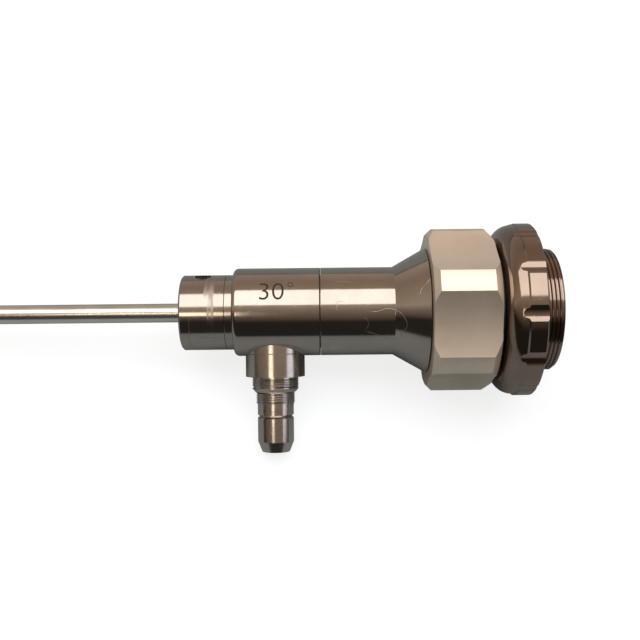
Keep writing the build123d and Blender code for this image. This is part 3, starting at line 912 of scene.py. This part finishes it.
class ENDOSCOPE_OT_inner_pieces(bpy.types.Operator):
    """Finish the barrel, the optics and the other pieces inside"""

    bl_idname = "endoscope.inner_pieces"
    bl_label = "Inner pieces"

    def execute(self, context):
        finish = context.scene.endoscope_finish
        finish_nodes(
            polished_steel("Turned inner steel", finish.shaft_steel, 0.3),
            "inner_tube", "tube_holder", "spigot_nut", "snap_ring", "post_ferrule", "lug_screws",
        )
        finish_nodes(
            black_anodised("Black anodising"),
            "rod_spacers", "ocular_cell", "ocular_retainer", "barrel", "ring_retainer",
            "window_retainer", "lens_cell", "focus_lens_spacer", "focus_lens_retainer",
        )
        finish_nodes(
            coated_glass("Lens glass"),
            "ocular_lens", "focus_lens_front", "focus_lens_rear", "rear_window",
        )
        finish_nodes(polished_steel("Lug brass", (0.70, 0.52, 0.25), 0.25), "focus_lugs")
        finish_nodes(cast_resin("Casting resin"), "fibre_manifold")
        return {"FINISHED"}


class ENDOSCOPE_OT_stage(bpy.types.Operator):
    """Set up the white table, the surroundings, the lamps and the camera"""

    bl_idname = "endoscope.stage"
    bl_label = "Stage"

    def execute(self, context):
        scene = context.scene
        studio = scene.endoscope_studio
        scene.view_settings.view_transform = "Standard"
        self.table(studio)
        self.surroundings(scene)
        middle = LAY_DOWN @ Vector((stations("rear_housing")[0], 0, 0))
        # Each lamp has its direction, distance, size along and across the shaft, power and colour.
        lamps = {
            "overhead_lamp": (
                Vector((0, 0.225, 0.974)), 0.7, (1.1, 0.52), studio.key_power, (1, 1, 1)
            ),
            "warm_card": (seen_from(-15, -5), 0.6, (0.15, 0.10), 0.13, (1.0, 0.86, 0.66)),
            "cool_card": (seen_from(62, -5), 0.6, (0.30, 0.10), 0.12, (0.80, 0.87, 1.0)),
        }
        for name, settings in lamps.items():
            self.lamp(name, middle, *settings)
        self.camera(scene, studio)
        return {"FINISHED"}

    def table(self, studio):
        """Lay a white table under the part, which the camera sees as white."""
        bm = bmesh.new()
        bmesh.ops.create_grid(bm, x_segments=1, y_segments=1, size=studio.table_width / 2)
        bmesh.ops.translate(bm, vec=(0, 0, CAD_BOX[0][2]), verts=bm.verts)
        mesh = bpy.data.meshes.new("table")
        bm.to_mesh(mesh)
        bm.free()
        table = bpy.data.objects.new("table", mesh)
        bpy.context.scene.collection.objects.link(table)
        recipe = Recipe("White table")
        grain = recipe.noise(recipe.add("ShaderNodeTexCoord").outputs["Object"], 40)
        seen = recipe.add("ShaderNodeLightPath").outputs["Is Camera Ray"]
        mesh.materials.append(
            recipe.principled(
                Base_Color=recipe.blend(grain, (0.32, 0.37, 0.40), (0.35, 0.40, 0.43)),
                Roughness=0.9,
                Specular_IOR_Level=0.0,
                Emission_Color=(1, 1, 1),
                Emission_Strength=recipe.combine(seen, 0.80, "MULTIPLY"),
            )
        )

    def surroundings(self, scene):
        """Surround the part with a warm room that the camera sees as white.

        The metal shows the room, dark at the photographer's side and bright overhead.
        """
        world = bpy.data.worlds.new("Warm room")
        scene.world = world
        world.use_nodes = True
        nodes, links = world.node_tree.nodes, world.node_tree.links
        nodes.clear()
        direction = nodes.new("ShaderNodeTexCoord")
        apart = nodes.new("ShaderNodeSeparateXYZ")
        level = nodes.new("ShaderNodeCombineXYZ")
        sweep = nodes.new("ShaderNodeTexGradient")
        sweep.gradient_type = "RADIAL"
        room = nodes.new("ShaderNodeValToRGB")
        # Each band has its angle in degrees, from the photographer over the top, and its colour.
        bands = (
            (-90, (0.03, 0.027, 0.025)), (-52, (0.03, 0.026, 0.022)), (-44, (0.12, 0.09, 0.07)),
            (-24, (0.30, 0.23, 0.18)), (-10, (0.50, 0.42, 0.34)), (34, (0.42, 0.31, 0.23)),
            (60, (0.36, 0.27, 0.21)), (90, (0.45, 0.37, 0.32)),
        )
        for angle, color in bands:
            stop = room.color_ramp.elements.new(0.5 + angle / 360)
            stop.color = (*color, 1)
        links.new(direction.outputs["Generated"], apart.inputs[0])
        links.new(apart.outputs["Z"], level.inputs["X"])
        links.new(apart.outputs["Y"], level.inputs["Y"])
        links.new(level.outputs[0], sweep.inputs["Vector"])
        links.new(sweep.outputs["Fac"], room.inputs["Fac"])
        path = nodes.new("ShaderNodeLightPath")
        plain = nodes.new("ShaderNodeMath")
        plain.operation = "MAXIMUM"
        links.new(path.outputs["Is Camera Ray"], plain.inputs[0])
        links.new(path.outputs["Is Transmission Ray"], plain.inputs[1])
        blend = nodes.new("ShaderNodeMix")
        blend.data_type = "RGBA"
        socket_called(blend.inputs, "B_Color").default_value = (1, 1, 1, 1)
        links.new(plain.outputs[0], socket_called(blend.inputs, "Factor_Float"))
        links.new(room.outputs["Color"], socket_called(blend.inputs, "A_Color"))
        background = nodes.new("ShaderNodeBackground")
        links.new(socket_called(blend.outputs, "Result_Color"), background.inputs["Color"])
        output = nodes.new("ShaderNodeOutputWorld")
        links.new(background.outputs[0], output.inputs["Surface"])

    def lamp(self, name, target, direction, distance, size, power, color):
        """Hang a soft rectangular lamp that faces a target, its long side along the shaft."""
        data = bpy.data.lights.new(name, "AREA")
        data.shape = "RECTANGLE"
        data.size, data.size_y = size
        data.energy = power
        data.color = color
        lamp = bpy.data.objects.new(name, data)
        bpy.context.scene.collection.objects.link(lamp)
        facing = direction.normalized()
        side = (REARWARD - facing * REARWARD.dot(facing)).normalized()
        turn = Matrix((side, facing.cross(side), facing)).transposed().to_4x4()
        lamp.matrix_world = Matrix.Translation(target + facing * distance) @ turn

    def camera(self, scene, studio):
        """Stand the camera square to the optical axis, where the photograph was taken from."""
        aim_station, aim_below, lean = -43.6, 1.8, math.radians(0.6)
        data = bpy.data.cameras.new("photo_camera")
        data.sensor_width = 36
        data.lens = studio.camera_lens
        data.clip_start = 0.01
        camera = bpy.data.objects.new("photo_camera", data)
        scene.collection.objects.link(camera)
        toward = -UNDER
        right = REARWARD * math.cos(lean) + OUTWARD * math.sin(lean)
        up = toward.cross(right)
        turn = Matrix((right, up, toward)).transposed().to_4x4()
        aim = LAY_DOWN @ Vector((aim_station, aim_below, 0))
        camera.matrix_world = Matrix.Translation(aim + toward * studio.camera_distance) @ turn
        scene.camera = camera


PIECES = (
    ENDOSCOPE_OT_shaft,
    ENDOSCOPE_OT_collar,
    ENDOSCOPE_OT_front_body,
    ENDOSCOPE_OT_light_post,
    ENDOSCOPE_OT_rear_housing,
    ENDOSCOPE_OT_focus_ring,
    ENDOSCOPE_OT_camera_ring,
    ENDOSCOPE_OT_inner_pieces,
    ENDOSCOPE_OT_stage,
)


class ENDOSCOPE_PT_panel(bpy.types.Panel):
    """Buttons for the endoscope's pieces, with their sizes and colours"""

    bl_idname = "ENDOSCOPE_PT_panel"
    bl_label = "Rigid Endoscope"
    bl_space_type = "VIEW_3D"
    bl_region_type = "UI"
    bl_category = "Endoscope"

    def draw(self, context):
        for piece in PIECES:
            self.layout.operator(piece.bl_idname)
        scene = context.scene
        for group in (scene.endoscope_finish, scene.endoscope_detail, scene.endoscope_studio):
            box = self.layout.box()
            for name in group.__annotations__:
                box.prop(group, name)


GROUPS = {
    "endoscope_finish": EndoscopeFinish,
    "endoscope_detail": EndoscopeDetail,
    "endoscope_studio": EndoscopeStudio,
}


def register():
    """Register the classes and hang the groups on the scene."""
    for name, group in GROUPS.items():
        bpy.utils.register_class(group)
        setattr(bpy.types.Scene, name, PointerProperty(type=group))
    for cls in (*PIECES, ENDOSCOPE_PT_panel):
        bpy.utils.register_class(cls)


def unregister():
    """Take the classes and the groups away again."""
    for cls in reversed((*PIECES, ENDOSCOPE_PT_panel)):
        bpy.utils.unregister_class(cls)
    for name, group in GROUPS.items():
        delattr(bpy.types.Scene, name)
        bpy.utils.unregister_class(group)


def main():
    """Register the classes and make every piece in order."""
    register()
    for piece in PIECES:
        group, name = piece.bl_idname.split(".")
        getattr(getattr(bpy.ops, group), name)()


if __name__ == "__main__":
    main()
